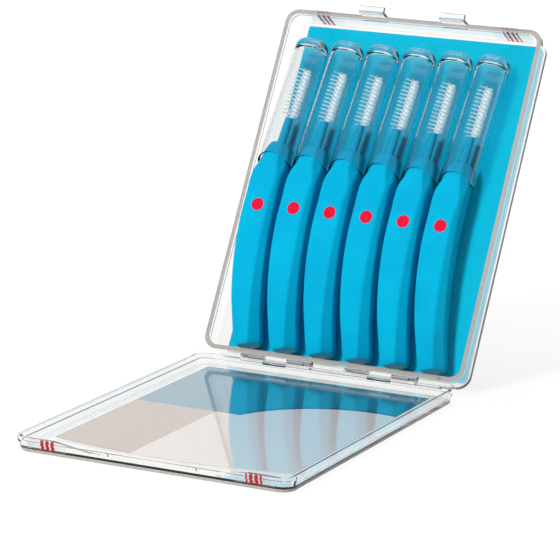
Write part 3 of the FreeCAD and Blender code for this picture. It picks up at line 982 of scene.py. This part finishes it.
@dataclass
class Brush:
    """One capped brush: handle, dot and cap from the CAD, with a twisted wire and loose filaments.

    Attributes:
        number: Its place in the row, from the left.
        axis: Direction along the brush to its tip.
        out: Direction out of the tray.
        socket_mm: Length of wire inside the neck.
        bare_mm: Length of bare wire between the neck and the filaments.
        tip_mm: Length of bare wire past the filaments.
        strand_mm: Radius of one of the two wire strands.
        twist_mm: Length of one full twist.
        strand_steps: Sections of a wire strand in one full twist.
        strand_sides: Sides of a wire strand.
        reach_mm: Length of a filament from the wire's middle.
        filament_mm: Radius of a filament, drawn a little thick so that it shows.
        filament_sides: Sides of a filament.
        waist: How far along its reach a filament's inner sections lie.
        tip_share: Thickness of a filament's tips, as a share of its middle.
        per_twist: Filaments in one full twist.
        scatter: Spread of the filaments' angles, in radians.
        uneven: Most that a filament falls short, as a share of its reach.
        stray_mm: Spread of the tips along the brush.
        end_mm: Length over which the filaments shorten at each end.
        end_reach: Reach of the outermost filaments, as a share of the full one.
    """

    number: int
    axis: Vector
    out: Vector
    socket_mm: float = 5.0
    bare_mm: float = 0.3
    tip_mm: float = 0.4
    strand_mm: float = 0.175
    twist_mm: float = 2.34
    strand_steps: int = 14
    strand_sides: int = 6
    reach_mm: float = 2.4
    filament_mm: float = 0.05
    filament_sides: int = 4
    waist: float = 0.45
    tip_share: float = 0.8
    per_twist: int = 80
    scatter: float = 0.05
    uneven: float = 0.05
    stray_mm: float = 0.05
    end_mm: float = 1.0
    end_reach: float = 0.82

    def across(self) -> Vector:
        """Gives the direction across the brush, along the tray's floor and square to its axis."""
        return self.axis.cross(self.out)

    def round_axis(self, angle: float) -> Vector:
        """Gives the direction at an angle round the axis, from across towards out."""
        return self.across() * math.cos(angle) + self.out * math.sin(angle)

    def wire_ends(self) -> tuple[Vector, Vector]:
        """Finds both ends of the wire's centre line from its CAD piece.

        Returns:
            The end in the neck and the end past the filaments.
        """
        low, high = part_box(f"core_wire_{self.number}")
        middle = (low + high) / 2
        rod = bpy.data.objects[f"core_wire_{self.number}"].data
        along = [vertex.co.dot(self.axis) for vertex in rod.vertices]
        half = (max(along) - min(along)) / 2
        return middle - self.axis * half, middle + self.axis * half

    def build_wire(self) -> bpy.types.Object:
        """Builds the two strands twisted round each other.

        Returns:
            The wire.
        """
        start, end = self.wire_ends()
        length = (end - start).length
        steps = round(length / (self.twist_mm * MM) * self.strand_steps)
        strand = self.strand_mm * MM
        corners: list[Vector] = []
        faces: list[tuple[int, ...]] = []
        for phase in (0.0, math.pi):
            rings = []
            for step in range(steps + 1):
                y = length * step / steps
                angle = math.tau * y / (self.twist_mm * MM) + phase
                away = self.round_axis(angle)
                turning = self.round_axis(angle + math.pi / 2)
                along = (self.axis * self.twist_mm * MM + turning * math.tau * strand).normalized()
                rings.append(Ring(start + self.axis * y + away * strand, away, along.cross(away), strand))
            add_tube(corners, faces, rings, self.strand_sides)
        return new_piece(f"wire_{self.number}", corners, faces, True)

    def build_filaments(self) -> bpy.types.Object:
        """Builds the filaments, each caught across the wire by its twist, so that they wind round it.

        Returns:
            The filaments.
        """
        chance = random.Random(SEED + self.number)
        start, end = self.wire_ends()
        low = (self.socket_mm + self.bare_mm) * MM
        length = (end - start).length - low - self.tip_mm * MM
        count = round(length / (self.twist_mm * MM) * self.per_twist)
        corners: list[Vector] = []
        faces: list[tuple[int, ...]] = []
        for index in range(count):
            y = low + length * (index + 0.5) / count
            angle = math.tau * (y - low) / (self.twist_mm * MM) + chance.gauss(0.0, self.scatter)
            ray = self.round_axis(angle)
            middle = start + self.axis * y
            from_end = min(y - low, low + length - y) / (self.end_mm * MM)
            grown = self.end_reach + (1.0 - self.end_reach) * min(1.0, from_end)
            reach = self.reach_mm * MM * grown
            rings = []
            for side in (-1.0, -self.waist, self.waist, 1.0):
                size = reach * (1.0 - self.uneven * chance.random())
                bend = chance.gauss(0.0, self.stray_mm) * MM * abs(side)
                thick = self.filament_mm * MM * (self.tip_share if abs(side) == 1.0 else 1.0)
                centre = middle + ray * size * side + self.axis * bend
                rings.append(Ring(centre, self.axis, ray.cross(self.axis), thick))
            add_tube(corners, faces, rings, self.filament_sides)
        return new_piece(f"filaments_{self.number}", corners, faces, True)

    def build(self, nodes: dict[str, bpy.types.Object], finishes: dict[str, bpy.types.Material]) -> None:
        """Builds the wire and the filaments, and dresses the whole brush.

        Args:
            nodes: The CAD pieces.
            finishes: The brush's materials by piece.
        """
        for name in ("handle", "size_dot", "cap"):
            dress(nodes[f"{name}_{self.number}"], finishes[name])
        wire = self.build_wire()
        filaments = self.build_filaments()
        # Real strands are finer and clearer than these, so they throw next to no shade on each other.
        filaments.visible_shadow = False
        swaps = ((wire, "core_wire", "wire_steel"), (filaments, "bristles", "filament_white"))
        for piece, name, slot in swaps:
            dress(piece, finishes[name])
            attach(piece, f"brush_{self.number}")
            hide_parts(f"{name}_{self.number}")
            log.info("built %s with %d faces", piece.name, len(piece.data.polygons))


@dataclass(frozen=True)
class SoftBox:
    """A square studio lamp.

    Attributes:
        name: Its name.
        towards: Direction from the object to it.
        distance: Its distance in metres.
        size: Its side in metres.
        level: How bright it makes a white face that looks at it, where 1 is white.
        mirrored: Whether glossy faces show it.
    """

    name: str
    towards: tuple[float, float, float]
    distance: float
    size: float
    level: float
    mirrored: bool = False

    def build(self, target: Vector) -> None:
        """Hangs the lamp, turned to the object.

        Args:
            target: The point that it looks at.
        """
        lamp = bpy.data.lights.new(self.name, "AREA")
        lamp.shape = "SQUARE"
        lamp.size = self.size
        lamp.color = srgb(WHITE)[:3]
        lamp.energy = self.level * math.pi ** 2 * self.distance ** 2
        holder = bpy.data.objects.new(self.name, lamp)
        towards = Vector(self.towards).normalized()
        holder.location = target + towards * self.distance
        holder.rotation_euler = towards.to_track_quat("Z", "Y").to_euler()
        holder.visible_glossy = self.mirrored
        holder.visible_transmission = False
        bpy.context.scene.collection.objects.link(holder)
        log.info("hung %s", self.name)


@dataclass(frozen=True)
class View:
    """The camera's place, as fitted to the case's two rims.

    Attributes:
        azimuth: Turn to the right of the front, in degrees.
        elevation: Height above the table, in degrees.
        roll: Turn about the line of sight, in degrees.
        distance_mm: Distance to the target.
        target_mm: The point in the middle of the picture.
        focal_px: Focal length in pixels of the picture.
        picture_px: Width of the picture.
        sensor_mm: Width of the sensor.
        clip: Nearest and farthest that it sees, in metres.
    """

    azimuth: float
    elevation: float
    roll: float
    distance_mm: float
    target_mm: tuple[float, float, float]
    focal_px: float
    picture_px: int
    sensor_mm: float
    clip: tuple[float, float]

    def build(self) -> None:
        """Sets up the camera."""
        turn, rise, roll = (math.radians(angle) for angle in (self.azimuth, self.elevation, self.roll))
        back = Vector((math.sin(turn) * math.cos(rise), -math.cos(turn) * math.cos(rise), math.sin(rise)))
        level = Vector((math.cos(turn), math.sin(turn), 0.0))
        above = back.cross(level)
        right = level * math.cos(roll) + above * math.sin(roll)
        up = above * math.cos(roll) - level * math.sin(roll)
        camera = bpy.data.cameras.new("camera")
        camera.sensor_width = self.sensor_mm
        camera.lens = self.focal_px / self.picture_px * self.sensor_mm
        camera.clip_start, camera.clip_end = self.clip
        holder = bpy.data.objects.new("camera", camera)
        place = (Vector(self.target_mm) + back * self.distance_mm) * MM
        rows = [[right[i], up[i], back[i], place[i]] for i in range(3)]
        holder.matrix_world = Matrix(rows + [[0.0, 0.0, 0.0, 1.0]])
        bpy.context.scene.collection.objects.link(holder)
        bpy.context.scene.camera = holder
        log.info("placed the camera")


@dataclass
class Studio:
    """A white studio: pale floor, soft lamps, and a grey curtain in front that only reflections see.

    Attributes:
        lamps: The soft boxes.
        view: The camera.
        ambient: Level of the light from all round.
        floor_drop_mm: How far the floor lies under the object.
        floor_size: Side of the floor in metres.
        floor_glow: Share of the floor's white that no shadow takes away.
        floor_white: Share of the floor's white that the lamps give.
        floor_near: How far from the middle the floor begins to brighten, in metres.
        floor_far: How far from the middle it is quite white, in metres.
        curtain_radius: How far the curtain hangs from the object.
        curtain_height: Height of the curtain's top.
        curtain_sweep: How far it reaches round to each side, in degrees.
        curtain_level: How bright it looks in a reflection, where 1 is white.
        curtain_steps: How many flat strips make its round.
    """

    lamps: list[SoftBox]
    view: View
    ambient: float
    floor_drop_mm: float
    floor_size: float
    floor_glow: float
    floor_white: float
    floor_near: float
    floor_far: float
    curtain_radius: float
    curtain_height: float
    curtain_sweep: float
    curtain_level: float
    curtain_steps: int

    def build_world(self) -> None:
        """Makes the world white to look at, and a plain soft level to be lit by."""
        world = bpy.data.worlds.new("studio")
        world.use_nodes = True
        tree = world.node_tree
        tree.nodes.clear()
        white = add_node(tree, "ShaderNodeBackground", {"Color": srgb(WHITE), "Strength": 1.0})
        soft = add_node(tree, "ShaderNodeBackground", {"Color": srgb(WHITE), "Strength": self.ambient})
        mixed = add_node(tree, "ShaderNodeMixShader", {0: white_studio_rays(tree), 1: soft, 2: white})
        output = add_node(tree, "ShaderNodeOutputWorld")
        tree.links.new(mixed.outputs["Shader"], output.inputs["Surface"])
        bpy.context.scene.world = world

    def build_floor(self) -> None:
        """Lays the pale floor, which stays white to look at and still takes a soft shadow."""
        half = self.floor_size / 2
        z = -self.floor_drop_mm * MM
        corners = [Vector((x * half, y * half, z)) for x, y in ((-1, -1), (1, -1), (1, 1), (-1, 1))]
        floor = new_piece("floor", corners, [(0, 1, 2, 3)], False)
        material, tree, output = new_material("matt_white_paper_floor")
        paper = add_node(tree, "ShaderNodeBsdfDiffuse", {"Color": srgb("#F0F0EE")})
        shadowed = add_node(
            tree, "ShaderNodeBsdfDiffuse",
            {"Color": (self.floor_white, self.floor_white, self.floor_white, 1.0)},
        )
        place = add_node(tree, "ShaderNodeTexCoord").outputs["Object"]
        away = add_node(tree, "ShaderNodeVectorMath", {0: place}, operation="LENGTH")
        bright = add_node(
            tree, "ShaderNodeMapRange",
            {
                "Value": away, "From Min": self.floor_near, "From Max": self.floor_far,
                "To Min": self.floor_glow, "To Max": 1.0,
            },
        )
        glow = add_node(tree, "ShaderNodeEmission", {"Color": srgb(WHITE), "Strength": bright})
        lit = add_node(tree, "ShaderNodeAddShader", {0: shadowed, 1: glow})
        mixed = add_node(tree, "ShaderNodeMixShader", {0: white_studio_rays(tree), 1: paper, 2: lit})
        tree.links.new(mixed.outputs["Shader"], output.inputs["Surface"])
        dress(floor, material)
        floor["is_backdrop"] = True
        log.info("laid the floor")

    def build_curtain(self, target: Vector) -> None:
        """Hangs the grey curtain round the front, which keeps white glare off the clear plastic.

        Args:
            target: The point that it hangs round.
        """
        corners = []
        for step in range(self.curtain_steps + 1):
            angle = math.radians(self.curtain_sweep) * (2 * step / self.curtain_steps - 1)
            x = target.x + self.curtain_radius * math.sin(angle)
            y = target.y - self.curtain_radius * math.cos(angle)
            corners.append(Vector((x, y, 0.0)))
            corners.append(Vector((x, y, self.curtain_height)))
        faces = [(2 * i, 2 * i + 2, 2 * i + 3, 2 * i + 1) for i in range(self.curtain_steps)]
        curtain = new_piece("curtain", corners, faces, True)
        material, tree, output = new_material("grey_cloth_curtain")
        grey = add_node(tree, "ShaderNodeEmission", {"Color": srgb(WHITE), "Strength": self.curtain_level})
        straight_through = add_node(tree, "ShaderNodeBsdfTransparent", {"Color": srgb(WHITE)})
        path = add_node(tree, "ShaderNodeLightPath")
        mirrored = add_node(
            tree, "ShaderNodeMath", {0: path.outputs["Glossy Depth"], 1: HALF_A_BOUNCE},
            operation="GREATER_THAN",
        )
        cloth = add_node(tree, "ShaderNodeMixShader", {0: mirrored, 1: straight_through, 2: grey})
        tree.links.new(cloth.outputs["Shader"], output.inputs["Surface"])
        dress(curtain, material)
        curtain.visible_camera = False
        curtain.visible_diffuse = False
        curtain.visible_shadow = False
        curtain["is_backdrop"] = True
        log.info("hung the curtain")

    def build(self, target: Vector) -> None:
        """Builds the whole studio.

        Args:
            target: The middle of the object.
        """
        bpy.context.scene.view_settings.view_transform = "Standard"
        self.build_world()
        self.build_floor()
        self.build_curtain(target)
        for lamp in self.lamps:
            lamp.build(target)
        self.view.build()


STUDIO = Studio(
    lamps=[
        SoftBox("key", (-0.32, -0.76, 0.55), distance=1.2, size=0.26, level=0.88),
        SoftBox("side", (0.78, -0.46, 0.42), distance=1.3, size=0.3, level=0.13),
        SoftBox("overhead", (-0.10, 0.25, 0.96), distance=1.2, size=0.7, level=0.22, mirrored=True),
    ],
    view=View(
        azimuth=25.783,
        elevation=12.656,
        roll=1.407,
        distance_mm=896.5,
        target_mm=(-18.695, 60.0, 26.143),
        focal_px=3144.4,
        picture_px=560,
        sensor_mm=36.0,
        clip=(0.05, 30.0),
    ),
    ambient=0.07,
    floor_drop_mm=0.3,
    floor_size=12.0,
    floor_glow=0.85,
    floor_white=0.2,
    floor_near=0.08,
    floor_far=0.3,
    curtain_radius=1.5,
    curtain_height=1.8,
    curtain_sweep=105.0,
    curtain_level=0.16,
    curtain_steps=24,
)


def find_joint(joints: list[dict[str, Any]], name: str) -> dict[str, Any]:
    """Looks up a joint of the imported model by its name."""
    return next(joint for joint in joints if joint["name"] == name)


def joint_axis(joints: list[dict[str, Any]], name: str) -> Vector:
    """Gives the unit direction of a joint."""
    return Vector(find_joint(joints, name)["axis"]).normalized()


def main() -> None:
    """Builds the object round its frame, then the studio."""
    logging.basicConfig(level=logging.INFO, format="%(name)s: %(message)s")
    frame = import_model()
    cad_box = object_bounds()
    nodes, joints = frame["nodes"], frame["joints"]
    out = joint_axis(joints, "brush_1_lift")
    up = out.cross(Vector((1.0, 0.0, 0.0)))
    Case(CASE_CLEAR).dress(nodes, Vector(find_joint(joints, "lid_hinge")["pos_m"]), out)
    Card(CARD_INK, CARD_RAW, SHEET_LIFT_MM).build(nodes["backing_card"], out)
    Films(LABEL_FILM, SEAL_FILM, SHEET_LIFT_MM).build(nodes, up, out)
    finishes = {
        "handle": HANDLE_BLUE.build(),
        "size_dot": DOT_RED.build(),
        "cap": CAP_CLEAR.build(),
        "core_wire": WIRE_COAT.build(),
        "bristles": FILAMENT_WHITE.build(),
    }
    for number in range(1, BRUSHES + 1):
        axis = joint_axis(joints, f"cap_{number}_pull")
        Brush(number, axis, out).build(nodes, finishes)
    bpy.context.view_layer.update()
    STUDIO.build((Vector(cad_box[0]) + Vector(cad_box[1])) / 2)


if __name__ == "__main__":
    main()
